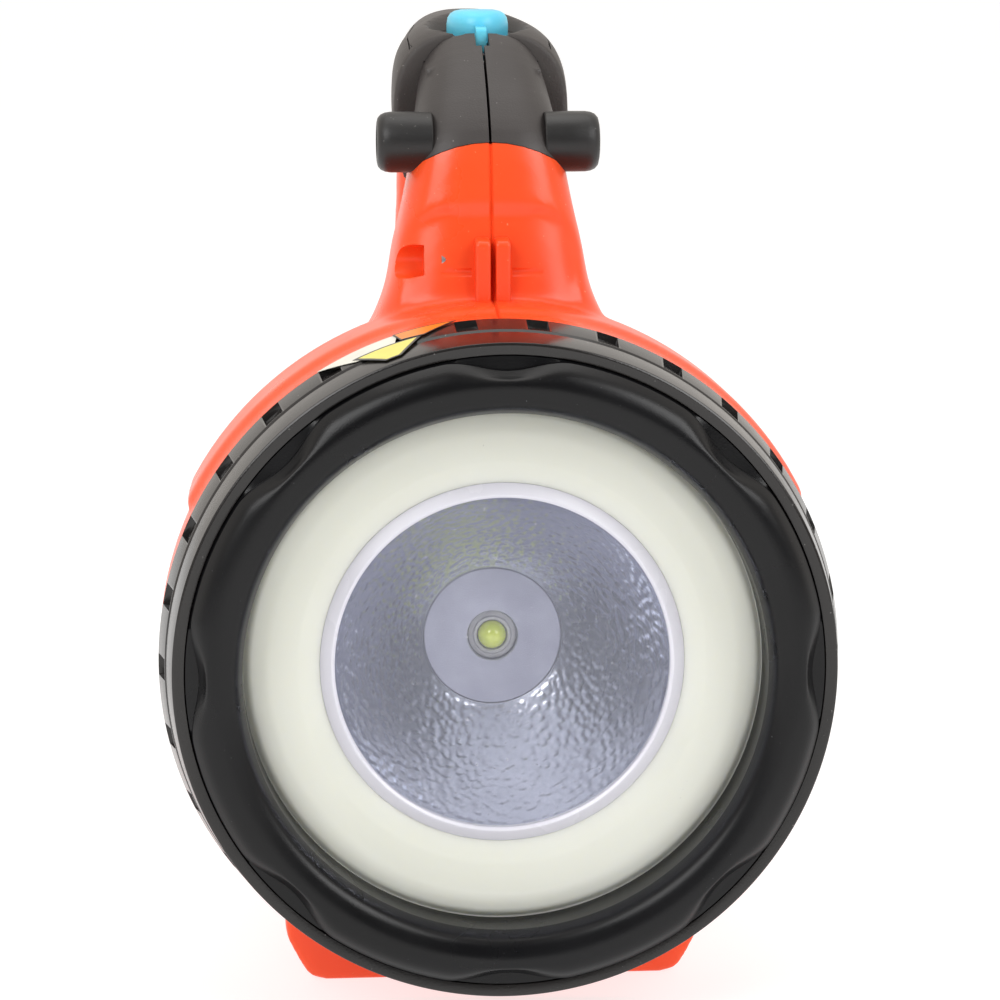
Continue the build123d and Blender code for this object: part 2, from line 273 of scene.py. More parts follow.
def bump(tree, shader, source, strength, distance, under=None):
    relief = tree.nodes.new("ShaderNodeBump")
    relief.inputs["Strength"].default_value = strength
    relief.inputs["Distance"].default_value = distance
    tree.links.new(source, relief.inputs["Height"])
    if under:
        tree.links.new(under.outputs["Normal"], relief.inputs["Normal"])
    tree.links.new(relief.outputs["Normal"], shader.inputs["Normal"])
    return relief


def plastic(name, look):
    # Moulded plastic: slight colour drift, uneven gloss, a fine moulded grain and dust
    material, tree, shader = nodeMaterial(name)
    drift = noiseAt(tree, look["driftScale"], 3.0)
    colours = ramp(tree, drift.outputs["Fac"], [(0.3, look["dark"]), (0.7, look["light"])])
    dust = noiseAt(tree, look["dustScale"], 1.0)
    none, full = (0, 0, 0), (1, 1, 1)
    specks = ramp(tree, dust.outputs["Fac"], [(0.0, none), (look["dustFrom"], none), (0.9, full)])
    mix = tree.nodes.new("ShaderNodeMix")
    mix.data_type = "RGBA"
    mix.inputs["B"].default_value = (*look["dustColour"], 1)
    tree.links.new(specks.outputs["Color"], mix.inputs["Factor"])
    tree.links.new(colours.outputs["Color"], mix.inputs["A"])
    tree.links.new(mix.outputs["Result"], shader.inputs["Base Color"])
    smear = noiseAt(tree, look["smearScale"], 5.0)
    low, high = look["roughness"]
    spread = tree.nodes.new("ShaderNodeMapRange")
    spread.inputs["From Min"].default_value = 0.3
    spread.inputs["From Max"].default_value = 0.7
    spread.inputs["To Min"].default_value = low
    spread.inputs["To Max"].default_value = high
    tree.links.new(smear.outputs["Fac"], spread.inputs["Value"])
    tree.links.new(spread.outputs["Result"], shader.inputs["Roughness"])
    grain = noiseAt(tree, look["grainScale"], 2.0)
    bump(tree, shader, grain.outputs["Fac"], look["grain"], 0.0002)
    shader.inputs["Specular IOR Level"].default_value = look.get("specular", 0.5)
    shader.inputs["Coat Weight"].default_value = look.get("coat", 0.0)
    shader.inputs["Coat Roughness"].default_value = 0.08
    if look.get("inner"):
        shader.inputs["Subsurface Weight"].default_value = look["inner"]
        shader.inputs["Subsurface Radius"].default_value = look["innerRadius"]
        shader.inputs["Subsurface Scale"].default_value = 0.004
    return material


redShell = plastic("redShell", {
    "dark": (0.86, 0.070, 0.014), "light": (0.95, 0.100, 0.020), "driftScale": 14, "dustScale": 1500,
    "dustFrom": 0.74, "dustColour": (1.0, 0.35, 0.2), "smearScale": 45, "roughness": (0.24, 0.36),
    "grainScale": 2600, "grain": 0.05, "specular": 0.42, "inner": 0.1, "innerRadius": (1.0, 0.2, 0.06)})
bezelBlack = plastic("bezelBlack", {
    "dark": (0.003, 0.003, 0.0035), "light": (0.005, 0.005, 0.006), "driftScale": 20, "dustScale": 1700,
    "dustFrom": 0.78, "dustColour": (0.12, 0.12, 0.13), "smearScale": 60, "roughness": (0.25, 0.34),
    "grainScale": 3800, "grain": 0.12, "specular": 0.3})
ringBlack = plastic("ringBlack", {
    "dark": (0.010, 0.009, 0.009), "light": (0.018, 0.016, 0.015), "driftScale": 25, "dustScale": 1500,
    "dustFrom": 0.75, "dustColour": (0.3, 0.29, 0.28), "smearScale": 70, "roughness": (0.16, 0.26),
    "grainScale": 2400, "grain": 0.07})
gripBlack = plastic("gripBlack", {
    "dark": (0.030, 0.025, 0.024), "light": (0.042, 0.036, 0.034), "driftScale": 22, "dustScale": 1500,
    "dustFrom": 0.75, "dustColour": (0.3, 0.28, 0.27), "smearScale": 55, "roughness": (0.40, 0.52),
    "grainScale": 2800, "grain": 0.2})
sleeveRubber = plastic("sleeveRubber", {
    "dark": (0.034, 0.029, 0.027), "light": (0.050, 0.043, 0.040), "driftScale": 30, "dustScale": 1400,
    "dustFrom": 0.74, "dustColour": (0.3, 0.28, 0.26), "smearScale": 50, "roughness": (0.46, 0.6),
    "grainScale": 2200, "grain": 0.3})
pegBlack = plastic("pegBlack", {
    "dark": (0.008, 0.008, 0.008), "light": (0.014, 0.013, 0.013), "driftScale": 60, "dustScale": 1600,
    "dustFrom": 0.75, "dustColour": (0.25, 0.24, 0.23), "smearScale": 90, "roughness": (0.34, 0.46),
    "grainScale": 3000, "grain": 0.15})
buttonCyan = plastic("buttonCyan", {
    "dark": (0.10, 0.56, 0.78), "light": (0.16, 0.68, 0.86), "driftScale": 90, "dustScale": 1500,
    "dustFrom": 0.78, "dustColour": (0.7, 0.9, 0.95), "smearScale": 120, "roughness": (0.32, 0.42),
    "grainScale": 2600, "grain": 0.12, "inner": 0.2, "innerRadius": (0.3, 0.8, 1.0)})
milky = plastic("milky", {
    "dark": (0.77, 0.78, 0.69), "light": (0.84, 0.85, 0.77), "driftScale": 9, "dustScale": 1300,
    "dustFrom": 0.8, "dustColour": (0.6, 0.6, 0.55), "smearScale": 25, "roughness": (0.13, 0.2),
    "grainScale": 500, "grain": 0.02, "inner": 0.5, "innerRadius": (1.0, 0.95, 0.8)})
collarPale = plastic("collarPale", {
    "dark": (0.76, 0.75, 0.84), "light": (0.84, 0.83, 0.92), "driftScale": 16, "dustScale": 1300,
    "dustFrom": 0.8, "dustColour": (0.5, 0.5, 0.55), "smearScale": 40, "roughness": (0.2, 0.3),
    "grainScale": 900, "grain": 0.03, "inner": 0.25, "innerRadius": (0.9, 0.9, 1.0)})
innerBlack = plastic("innerBlack", {
    "dark": (0.02, 0.02, 0.022), "light": (0.035, 0.035, 0.038), "driftScale": 30, "dustScale": 1400,
    "dustFrom": 0.76, "dustColour": (0.2, 0.2, 0.2), "smearScale": 60, "roughness": (0.45, 0.6),
    "grainScale": 1800, "grain": 0.25})
sealRubber = plastic("sealRubber", {
    "dark": (0.012, 0.012, 0.012), "light": (0.022, 0.022, 0.022), "driftScale": 40, "dustScale": 1200,
    "dustFrom": 0.72, "dustColour": (0.2, 0.2, 0.19), "smearScale": 80, "roughness": (0.6, 0.8),
    "grainScale": 1600, "grain": 0.3})
ledYellow = plastic("ledYellow", {
    "dark": (0.62, 0.74, 0.04), "light": (0.80, 0.88, 0.09), "driftScale": 260, "dustScale": 1500,
    "dustFrom": 0.85, "dustColour": (0.9, 0.9, 0.6), "smearScale": 200, "roughness": (0.08, 0.14),
    "grainScale": 900, "grain": 0.02, "coat": 1.0})
cellWrap = plastic("cellWrap", {
    "dark": (0.02, 0.10, 0.30), "light": (0.03, 0.14, 0.40), "driftScale": 30, "dustScale": 900,
    "dustFrom": 0.8, "dustColour": (0.3, 0.4, 0.5), "smearScale": 60, "roughness": (0.2, 0.32),
    "grainScale": 700, "grain": 0.06})
chipBlack = plastic("chipBlack", {
    "dark": (0.012, 0.012, 0.013), "light": (0.024, 0.024, 0.026), "driftScale": 80, "dustScale": 1500,
    "dustFrom": 0.8, "dustColour": (0.3, 0.3, 0.3), "smearScale": 150, "roughness": (0.4, 0.55),
    "grainScale": 3500, "grain": 0.3})
ledCase = plastic("ledCase", {
    "dark": (0.34, 0.34, 0.36), "light": (0.46, 0.46, 0.49), "driftScale": 150, "dustScale": 1500,
    "dustFrom": 0.8, "dustColour": (0.8, 0.8, 0.8), "smearScale": 150, "roughness": (0.2, 0.3),
    "grainScale": 2000, "grain": 0.05})


def metal(name, look):
    # Metal with a fine tooth, faint smears and a few bright specks
    material, tree, shader = nodeMaterial(name)
    shader.inputs["Metallic"].default_value = 1.0
    drift = noiseAt(tree, look["driftScale"], 6.0)
    colours = ramp(tree, drift.outputs["Fac"], [(0.3, look["dark"]), (0.7, look["light"])])
    tree.links.new(colours.outputs["Color"], shader.inputs["Base Color"])
    low, high = look["roughness"]
    spread = tree.nodes.new("ShaderNodeMapRange")
    spread.inputs["To Min"].default_value = low
    spread.inputs["To Max"].default_value = high
    tooth = noiseAt(tree, look["toothScale"], 3.0, 0.6)
    tree.links.new(tooth.outputs["Fac"], spread.inputs["Value"])
    tree.links.new(spread.outputs["Result"], shader.inputs["Roughness"])
    bump(tree, shader, tooth.outputs["Fac"], look["tooth"], 0.0001)
    return material


reflectorMetal = metal("reflectorMetal", {
    "dark": (0.50, 0.52, 0.60), "light": (0.66, 0.68, 0.76), "driftScale": 40, "roughness": (0.14, 0.3),
    "toothScale": 2500, "tooth": 0.12})
satinDisc = metal("satinDisc", {
    "dark": (0.34, 0.35, 0.45), "light": (0.45, 0.46, 0.57), "driftScale": 120, "roughness": (0.42, 0.6),
    "toothScale": 5200, "tooth": 0.5})
sinkMetal = metal("sinkMetal", {
    "dark": (0.55, 0.56, 0.58), "light": (0.7, 0.71, 0.73), "driftScale": 60, "roughness": (0.3, 0.45),
    "toothScale": 1800, "tooth": 0.3})
brass = metal("brass", {
    "dark": (0.68, 0.47, 0.18), "light": (0.83, 0.62, 0.28), "driftScale": 90, "roughness": (0.22, 0.36),
    "toothScale": 2000, "tooth": 0.15})
screwSteel = metal("screwSteel", {
    "dark": (0.50, 0.50, 0.52), "light": (0.68, 0.68, 0.70), "driftScale": 150, "roughness": (0.25, 0.4),
    "toothScale": 2600, "tooth": 0.2})


def clearPolycarbonate():
    # The clear disc: mostly see-through, with a faint haze and fine dust
    material, tree, shader = nodeMaterial("clearDisc")
    shader.inputs["Base Color"].default_value = (0.86, 0.88, 1.0, 1)
    shader.inputs["Roughness"].default_value = 0.04
    dust = noiseAt(tree, 1300, 1.0)
    haze = (0.07, 0.07, 0.07)
    cover = ramp(tree, dust.outputs["Fac"], [(0.0, haze), (0.72, haze), (0.82, (0.5, 0.5, 0.5))])
    tree.links.new(cover.outputs["Color"], shader.inputs["Alpha"])
    return material


clearDisc = clearPolycarbonate()


def boardMaterial():
    # Solder mask with copper tracks under it
    material, tree, shader = nodeMaterial("boardGreen")
    coords = tree.nodes.new("ShaderNodeTexCoord")
    tracks = tree.nodes.new("ShaderNodeTexBrick")
    tracks.inputs["Scale"].default_value = 180
    tracks.inputs["Mortar Size"].default_value = 0.03
    tracks.inputs["Color1"].default_value = (0.01, 0.10, 0.035, 1)
    tracks.inputs["Color2"].default_value = (0.012, 0.13, 0.045, 1)
    tracks.inputs["Mortar"].default_value = (0.05, 0.26, 0.08, 1)
    turn = tree.nodes.new("ShaderNodeMapping")
    turn.inputs["Rotation"].default_value = (math.radians(90), 0, 0)
    tree.links.new(coords.outputs["Object"], turn.inputs["Vector"])
    tree.links.new(turn.outputs["Vector"], tracks.inputs["Vector"])
    tree.links.new(tracks.outputs["Color"], shader.inputs["Base Color"])
    bump(tree, shader, tracks.outputs["Fac"], 0.2, 0.0001)
    shader.inputs["Roughness"].default_value = 0.3
    return material


boardGreen = boardMaterial()
print("materials ready")


# Head

bezel = {"flutes": 8, "depth": 2.3, "halfAngle": 11.8, "crest": 52.5, "outer": 57.6, "lip": 47.5}


def makeBezel():
    outline = [(bezel["lip"], 8.6, 0.3), (bezel["lip"], 0.3, 0.5), (48.7, -2.9, 3.0),
               (bezel["crest"], -4.06, 4.5), (55.7, -3.2, 4.5), (bezel["outer"], -0.9, 0.35),
               (57.66, 0.15, 0.05), (57.76, 0.42, 0.05), (57.85, 0.8, 0.1), (57.85, 8.6, 0.3)]
    piece = turned("bezelRoll", outline, 720)
    for vertex in piece.data.vertices:
        x, y, z = (vertex.co - place(0, 0, 0)) * 1000
        radius = math.hypot(x, z)
        share = rise(bezel["crest"] + 0.5, bezel["outer"] - 0.3, radius) * (1 - rise(0.2, 0.38, y))
        step = 360 / bezel["flutes"]
        off = (math.degrees(math.atan2(x, z)) + step / 2) % step - step / 2
        hollow = 0.5 + 0.5 * math.cos(math.pi * min(1, abs(off) / bezel["halfAngle"]))
        scale = 1 - bezel["depth"] * share * hollow / radius
        vertex.co = place(x * scale, y, z * scale)
    smooth(piece, 35)
    stand(piece, "bezel", bezelBlack, "front_bezel")


ring = {"notches": 30, "width": 4.0, "front": 9.1, "rear": 15.0, "floor": 61.5}


def makeHeadRing():
    outline = [(57.9, 0.8, 0), (58.0, 0.35, 0.1), (59.7, 0.1, 0.3), (60.15, 0.3, 0.25), (61.25, 7.6, 0.4),
               (61.0, 8.3, 0.3), (61.55, 8.9, 0.4), (62.78, 15.1, 0.3), (62.5, 15.6, 0.2),
               (57.0, 15.6, 0.3), (57.0, 8.6, 0), (57.9, 8.6, 0)]
    piece = turned("headRing", outline, 480)
    notches = []
    for i in range(ring["notches"]):
        deselectAll()
        long = ring["rear"] - ring["front"]
        middle = place(0, ring["front"] + long / 2, ring["floor"] + 4)
        bpy.ops.mesh.primitive_cube_add(size=1, location=middle,
                                        scale=(ring["width"] / 1000, long / 1000, 0.008))
        cutter = bpy.context.object
        bpy.ops.object.transform_apply(location=True, rotation=False, scale=True)
        bpy.ops.object.mode_set(mode="EDIT")
        bpy.ops.mesh.select_all(action="DESELECT")
        mesh = bmesh.from_edit_mesh(cutter.data)
        for edge in mesh.edges:
            a, b = edge.verts
            edge.select = abs(a.co.z - b.co.z) > 0.005 and a.co.y < middle.y
        bmesh.update_edit_mesh(cutter.data)
        bpy.ops.mesh.bevel(offset=ring["width"] * 0.00049, segments=6, affect="EDGES")
        leaveEdit()
        aroundAxis(cutter, math.tau / ring["notches"] * (i + 0.5))
        notches.append(cutter)
    combine(piece, joined(notches), "DIFFERENCE")
    bevelled(piece, 0.18, 2, 40)
    smooth(piece, 34)
    stand(piece, "bezel", ringBlack, "head_ring")


def makeDiffuser():
    outline = [(33.45, 10.35, 0.12), (37.5, 8.9, 5.0), (43.0, 7.85, 6.0), (46.4, 8.0, 1.6), (47.4, 9.0, 0.3),
               (55.0, 9.0, 0.3), (55.0, 10.5, 0.3), (46.0, 10.5, 1.0), (33.45, 12.6, 0.1)]
    piece = turned("milkyRing", outline, 256)
    smooth(piece, 50)
    stand(piece, "optic_stack", milky, "ring_diffuser")


def makeCollar():
    outline = [(30.75, 9.5, 0.2), (31.3, 9.1, 0.3), (32.4, 9.75, 0.8), (33.42, 10.3, 0.05),
               (33.42, 11.1, 0), (30.75, 11.1, 0)]
    piece = turned("paleCollar", outline, 256)
    smooth(piece, 50)
    stand(piece, "optic_stack", collarPale, "inner_collar")


def makeLens():
    outline = [(0, 9.3, 0), (30.4, 9.3, 0.2), (30.7, 9.6, 0.1), (30.7, 11.0, 0.1), (0, 11.0, 0)]
    piece = turned("clearLens", outline, 192)
    smooth(piece, 40)
    stand(piece, "optic_stack", clearDisc, "lens_disc")


mirror = {"focus": 32.7, "vertex": 40.3, "rear": 35.0, "front": 11.25, "rows": 84, "dimple": 1.45,
          "depth": 0.1}


def makeReflector():
    inside, outside = [], []
    for i in range(mirror["rows"] + 1):
        y = mirror["rear"] + (mirror["front"] - mirror["rear"]) * (i / mirror["rows"]) ** 1.25
        inside.append((math.sqrt(mirror["focus"] * (mirror["vertex"] - y)), y, 0))
    for r, y, corner in reversed(inside[::10]):
        outside.append((r + 0.95, y, 0))
    piece = turned("dimpledReflector", inside + outside, 512)
    centre = place(0, 0, 0)
    for vertex in piece.data.vertices:
        x, y, z = (vertex.co - centre) * 1000
        radius = math.hypot(x, z)
        onMirror = abs(radius - math.sqrt(max(0.0, mirror["focus"] * (mirror["vertex"] - y)))) < 0.02
        if not onMirror or y < mirror["front"] + 0.4 or y > mirror["rear"] - 0.3:
            continue
        near = noise.voronoi(Vector((x, y, z)) / mirror["dimple"])[0]
        bowl = mirror["depth"] * (1 - min(1.0, near[0] * 1.6) ** 2) * rise(0, 0.5, mirror["rear"] - 0.3 - y)
        vertex.co = place(x * (1 + bowl / radius), y + bowl * 0.4, z * (1 + bowl / radius))
    smooth(piece, 60)
    stand(piece, "lamp", reflectorMetal, "reflector")


def makeLedParts():
    disc = turned("satinDisc", [(4.7, 35.15, 0.1), (4.9, 34.95, 0.1), (12.9, 34.95, 0.1),
                                (13.15, 35.15, 0.1), (13.15, 35.8, 0), (4.7, 35.8, 0)], 160)
    smooth(disc, 40)
    stand(disc, "lamp", satinDisc, "reflector_disc")
    seat = turned("ledSeat", [(2.75, 36.3, 0), (2.95, 35.6, 0.15), (3.5, 35.5, 0.15), (3.7, 36.0, 0.1),
                              (4.55, 36.1, 0.15), (4.6, 36.7, 0), (2.75, 36.7, 0)], 96)
    smooth(seat, 40)
    stand(seat, "lamp", ledCase, "led_emitter")
    dome = [(0, 33.62, 0)] + [
        (2.7 * math.sin(a * 0.157), 36.3 - 2.68 * math.cos(a * 0.157), 0) for a in range(1, 11)]
    bead = turned("ledDome", dome + [(2.7, 36.5, 0), (0, 36.5, 0)], 96)
    smooth(bead, 60)
    stand(bead, "lamp", ledYellow, "led_dome")


makeBezel()
makeHeadRing()
makeDiffuser()
makeCollar()
makeLens()
makeReflector()
makeLedParts()
print("head made")


# Red housing

shell = {"wall": 2.6, "voxel": 0.85, "rounds": 9, "gap": 0.1, "seam": 0.5, "saddleHalfAngle": 64}
post = {"archTop": 93.0, "archRadius": 24.1, "panelTop": 81.2, "panelHalf": 16.6, "panelDepth": 1.0}

# The handle's sections: outer edge (y, z), inner edge (y, z), half width, squareness
frontLeg = [
    ((31.6, 44), (56.5, 38), 42, 3.4), ((31.7, 50), (57.3, 45), 36, 3.4),
    ((31.9, 54.5), (58.0, 50), 29.5, 3.4), ((32.0, 57.5), (58.5, 53.5), 25.4, 3.4),
    ((32.2, 60.5), (59.0, 57.5), 22.4, 3.5), ((32.8, 64), (59.8, 62), 20.4, 3.5),
    ((33.6, 68), (60.4, 66.5), 19.0, 3.6), ((35.0, 74.5), (61.6, 72.5), 17.9, 3.6),
    ((36.9, 83), (63.0, 77.5), 16.3, 3.5), ((39.2, 93), (65.0, 82.0), 14.8, 3.3),
    ((43.6, 99), (66.5, 84.3), 14.1, 3.1), ((49.5, 104.4), (68.5, 86.3), 13.4, 2.9),
    ((56.0, 109.2), (71.0, 88.2), 12.7, 2.8), ((63.0, 112.9), (73.5, 89.5), 12.0, 2.7),
    ((68.0, 114.4), (75.5, 90.0), 11.6, 2.7)]
gripSpan = [
    ((60.0, 111.2), (62.8, 76.5), 16.7, 2.9), ((64.0, 113.1), (65.5, 83.0), 17.0, 2.8),
    ((69.0, 114.5), (70.5, 87.7), 17.0, 2.7), ((77.0, 115.5), (78.0, 90.3), 16.5, 2.7),
    ((90.0, 116.2), (90.0, 90.5), 15.2, 2.6), ((105.0, 116.3), (105.0, 90.7), 13.9, 2.6),
    ((120.0, 115.6), (119.0, 90.9), 12.9, 2.6), ((134.0, 113.4), (132.0, 91.0), 12.1, 2.7),
    ((145.0, 110.1), (140.0, 88.9), 11.7, 2.7), ((154.5, 104.3), (145.5, 84.2), 11.7, 2.8),
    ((161.0, 97.4), (148.3, 79.3), 11.7, 2.9), ((164.9, 88.0), (149.6, 74.5), 11.7, 3.0),
    ((168.2, 78.0), (150.1, 68.0), 11.8, 3.2), ((169.4, 66.0), (150.3, 60.0), 12.2, 3.3),
    ((170.4, 54.0), (150.5, 50.0), 13.4, 3.4), ((171.0, 44.0), (150.7, 42.0), 16.6, 3.4),
    ((171.6, 36.0), (150.9, 35.0), 22.5, 3.4), ((172.0, 28.0), (150.9, 27.0), 28.0, 3.4)]


def section(outer, inner, halfWidth, squareness, count=72):
    # A rounded rectangle between the handle's outer and inner edge
    points = []
    for i in range(count):
        angle = math.tau * i / count
        c, s = math.cos(angle), math.sin(angle)
        t = 0.5 + 0.5 * math.copysign(abs(s) ** (2 / squareness), s)
        across = halfWidth * math.copysign(abs(c) ** (2 / squareness), c) * (1.03 - 0.06 * t)
        points.append(place(across, inner[0] + (outer[0] - inner[0]) * t,
                            inner[1] + (outer[1] - inner[1]) * t))
    return points


def between(rows):
    # Two more sections between each pair, on a smooth curve through the rows
    flat = [[*o, *i, w, q] for o, i, w, q in rows]
    rings = []
    for k in range(len(flat) - 1):
        before, here, after, beyond = (flat[max(0, min(len(flat) - 1, k + d))] for d in (-1, 0, 1, 2))
        for t in (0, 1 / 3, 2 / 3):
            mixed = []
            for p, a, b, n in zip(before, here, after, beyond):
                bend = (2 * p - 5 * a + 4 * b - n) * t * t + (3 * a - p - 3 * b + n) * t ** 3
                mixed.append(a + 0.5 * ((b - p) * t + bend))
            rings.append(mixed)
    rings.append(flat[-1])
    return [section(r[0:2], r[2:4], r[4], r[5]) for r in rings]


def archSolid(name, top, radius, grow=0.0):
    # Everything under the arched border between red post and black grip
    points = [(-45, 0), (45, 0), (45, top - radius)]
    for i in range(25):
        angle = math.pi * i / 24
        reach = radius + grow
        points.append((math.cos(angle) * reach, top - radius + math.sin(angle) * reach))
    points.append((-45, top - radius))
    return lofted(name, [[place(x, y, z) for x, z in points] for y in (15, 75)])


def footOutline(inset):
    base, low, wide = -66 + inset, 35.2 - inset, 39.9 - inset
    right = [(low, base, 4.5), (wide, -57, 7), (wide, -30, 4), (wide - 10, -2, 0)]
    return [(-x, z, r) for x, z, r in reversed(right)] + right


def barrelOutline(inset):
    front = 15.9 if inset == 0 else 15.9 + inset
    corner = 2.0 if inset == 0 else 0
    return [(0, front, 0), (62.7 - inset, front, 0.8), (62.7 - inset, 30 + inset * 0.4, 14),
            (42 - inset, 104, 30),
            (40.5 - inset, 176 - inset, 7), (33 - inset, 186 - inset, corner), (0, 186 - inset, 0)]


def frontPost():
    # The post's front carries a shallow panel under a flat arch, with a proud collar above it
    collar = lofted("frontPost", between(frontLeg[:13]))
    panel = rounded([(-post["panelHalf"], 40, 0), (-post["panelHalf"], post["panelTop"], 9),
                     (post["panelHalf"], post["panelTop"], 9), (post["panelHalf"], 40, 0)])
    combine(collar, lofted("panel", [[place(x, y, z) for x, z in panel] for y in (20, 45)]), "DIFFERENCE")
    deep = post["panelDepth"]
    inner = [((o[0] + deep, o[1]), (i[0] - 0.3, i[1]), half - 0.25, q) for o, i, half, q in frontLeg[1:12]]
    combine(collar, lofted("postCore", between(inner)), "UNION")
    return collar


def makeHousing():
    body = turned("housingBody", barrelOutline(0), 240)
    neck = [(52.8, 12.4, 0), (56.75, 12.4, 0.3), (56.75, 18, 0), (52.8, 18, 0)]
    combine(body, turned("neck", neck, 240), "UNION")
    saddle = turned("saddle", [(54, 22.5, 0), (63.3, 22.5, 0.4), (64.0, 24, 0.5), (64.0, 40, 5),
                               (56.5, 52, 3), (52, 50, 0)], 240)
    for side in (-1, 1):
        tilt = math.radians(shell["saddleHalfAngle"])
        cutAt(saddle, place(0, 24, 0), (side * math.cos(tilt), 0.05, -math.sin(tilt)))
    combine(body, saddle, "UNION")
    foot = [[place(x, y, z) for x, z in rounded(footOutline(0))] for y in (31.0, 168.0)]
    combine(body, lofted("foot", foot), "UNION")
    combine(body, frontPost(), "UNION")
    rear = lofted("rearPost", between(gripSpan[8:]))
    top = slab("rearTop", [(130, 20, 0), (190, 20, 0), (190, 88, 0), (130, 88, 0)], -40, 40)
    combine(rear, top, "INTERSECT")
    combine(body, rear, "UNION")
    moulded(body, shell["voxel"], shell["rounds"])
    return body


def cutSeam(body):
    # A fine groove down the middle, where the two shells meet
    for x in (-shell["seam"], 0, shell["seam"]):
        editAll(body)
        bpy.ops.mesh.bisect(plane_co=place(x, 0, 0), plane_no=(1, 0, 0))
        leaveEdit()
    inward = {v.index: v.normal.copy() for v in body.data.vertices if abs(v.co.x) < 0.00001}
    for index, normal in inward.items():
        body.data.vertices[index].co -= Vector((0, normal.y, normal.z)) * shell["seam"] * 0.001


def trimPost(body):
    # What stands above the arched border goes, so the black grip starts on a clean edge
    over = slab("overArch", [(15, 66, 0), (76, 66, 0), (76, 125, 0), (15, 125, 0)], -40, 40)
    combine(over, archSolid("arch", post["archTop"], post["archRadius"]), "DIFFERENCE")
    combine(body, over, "DIFFERENCE")


def hollowOut(body):
    combine(body, turned("cavity", barrelOutline(shell["wall"]), 160), "DIFFERENCE")
    combine(body, turned("mouth", [(0, 8, 0), (52.8, 8, 0), (52.8, 22, 0), (0, 22, 0)], 160), "DIFFERENCE")
    inner = [[place(x, y, z) for x, z in rounded(footOutline(shell["wall"]))] for y in (33.6, 165.4)]
    combine(body, lofted("footCavity", inner), "DIFFERENCE")


def circle(radius, count):
    angles = [math.tau * i / count for i in range(count)]
    return [(math.cos(angle) * radius, math.sin(angle) * radius) for angle in angles]


def rod(name, radius, x0, x1, y, z):
    around = circle(radius, 40)
    return lofted(name, [[place(x, y + a, z + b) for a, b in around] for x in (x0, x1)])


# Screw places are (y, z); the two front recesses are shallow, so that the post's opens only on its corner
screw = {"places": [(38.2, 71), (161, 74), (44, -60.5), (158, -60.5)], "bore": 1.6, "boss": 4.2,
         "recess": 3.2, "floor": -7, "frontFloor": -12.6, "frontBefore": 100}
fitting = {"studX": 9, "studZ": -50, "stud": 3.1, "windowZ": 8, "window": 4.1}


def finishHalf(half, side):
    for y, z in screw["places"]:
        if z < 0:
            combine(half, rod("boss", screw["boss"], 0.25 * side, 12 * side, y, z), "UNION")
        combine(half, rod("bore", screw["bore"], -1 * side, 9.6 * side, y, z), "DIFFERENCE")
        if side < 0:
            floor = screw["frontFloor"] if y < screw["frontBefore"] else screw["floor"]
            combine(half, rod("recess", screw["recess"], -45, floor, y - 0.2, z), "DIFFERENCE")
    combine(half, rod("dent", 1.1, 3.8 * side, 9.5 * side, 34.2, 69.3), "DIFFERENCE")
    fin = slab("fin", [(31.9, 57, 0), (31.9, 75.2, 1.2), (38, 75.8, 0), (38, 57, 0)],
               0.48 * side, 3.2 * side)
    bevelled(fin, 0.5, 3, 50)
    combine(half, fin, "UNION")
    studX, studZ = fitting["studX"] * side, fitting["studZ"]
    hole = [[place(studX + a, y, studZ + b) for a, b in circle(fitting["stud"], 32)] for y in (160, 190)]
    combine(half, lofted("studHole", hole), "DIFFERENCE")
    hole = [
        [place(a, y, fitting["windowZ"] + b) for a, b in circle(fitting["window"], 48)] for y in (180, 190)]
    combine(half, lofted("windowHole", hole), "DIFFERENCE")


body = makeHousing()
trimPost(body)
cutSeam(body)
hollowOut(body)
left, right = halves(body, "housingLeft", "housingRight", shell["gap"])
for half, side in ((left, -1), (right, 1)):
    finishHalf(half, side)
    smooth(half, 40)
stand(left, "lamp", redShell, "housing_left")
stand(right, "lamp", redShell, "housing_right")
print("housing made", len(left.data.polygons), len(right.data.polygons))


# Black grip

grip = {"frontEnd": 63.0, "rearStart": 148.0, "voxel": 0.5}
core = {"centreY": 96.0, "centreZ": -39.1, "radius": 152.2, "low": 94.0}
button = {"y": 73.0, "halfX": 6.0, "halfY": 7.5, "base": 110.5}


def coreSolid(name, grow):
    # The shells' part inside the sleeve, which narrows towards the rear
    low, radius = core["low"] - grow, core["radius"] + grow
    arc = [
        (y, core["centreZ"] + math.sqrt(radius ** 2 - (y - core["centreY"]) ** 2), 0)
        for y in range(160, 64, -5)]
    bar = slab(name, [(65 - grow, low, 0), (160, low, 0)] + arc, -20, 20)
    half = [(40, 13.7), (72, 13.7), (100, 10.9), (140, 8.4), (180, 8.4)]
    plan = [(w + grow, y) for y, w in half] + [(-w - grow, y) for y, w in reversed(half)]
    combine(bar, lofted("corePlan", [[place(x, y, z) for x, y in plan] for z in (80, 130)]), "INTERSECT")
    link = slab("link", [(56, 95 - grow, 0), (68, 95 - grow, 0), (68, 108 + grow, 0),
                         (56, 106 + grow, 0)], -11 - grow, 11 + grow)
    combine(bar, link, "UNION")
    return bar


def oval(halfX, halfY, y, z, count=64):
    return [
        place(halfX * math.cos(math.tau * i / count), y + halfY * math.sin(math.tau * i / count), z)
        for i in range(count)]


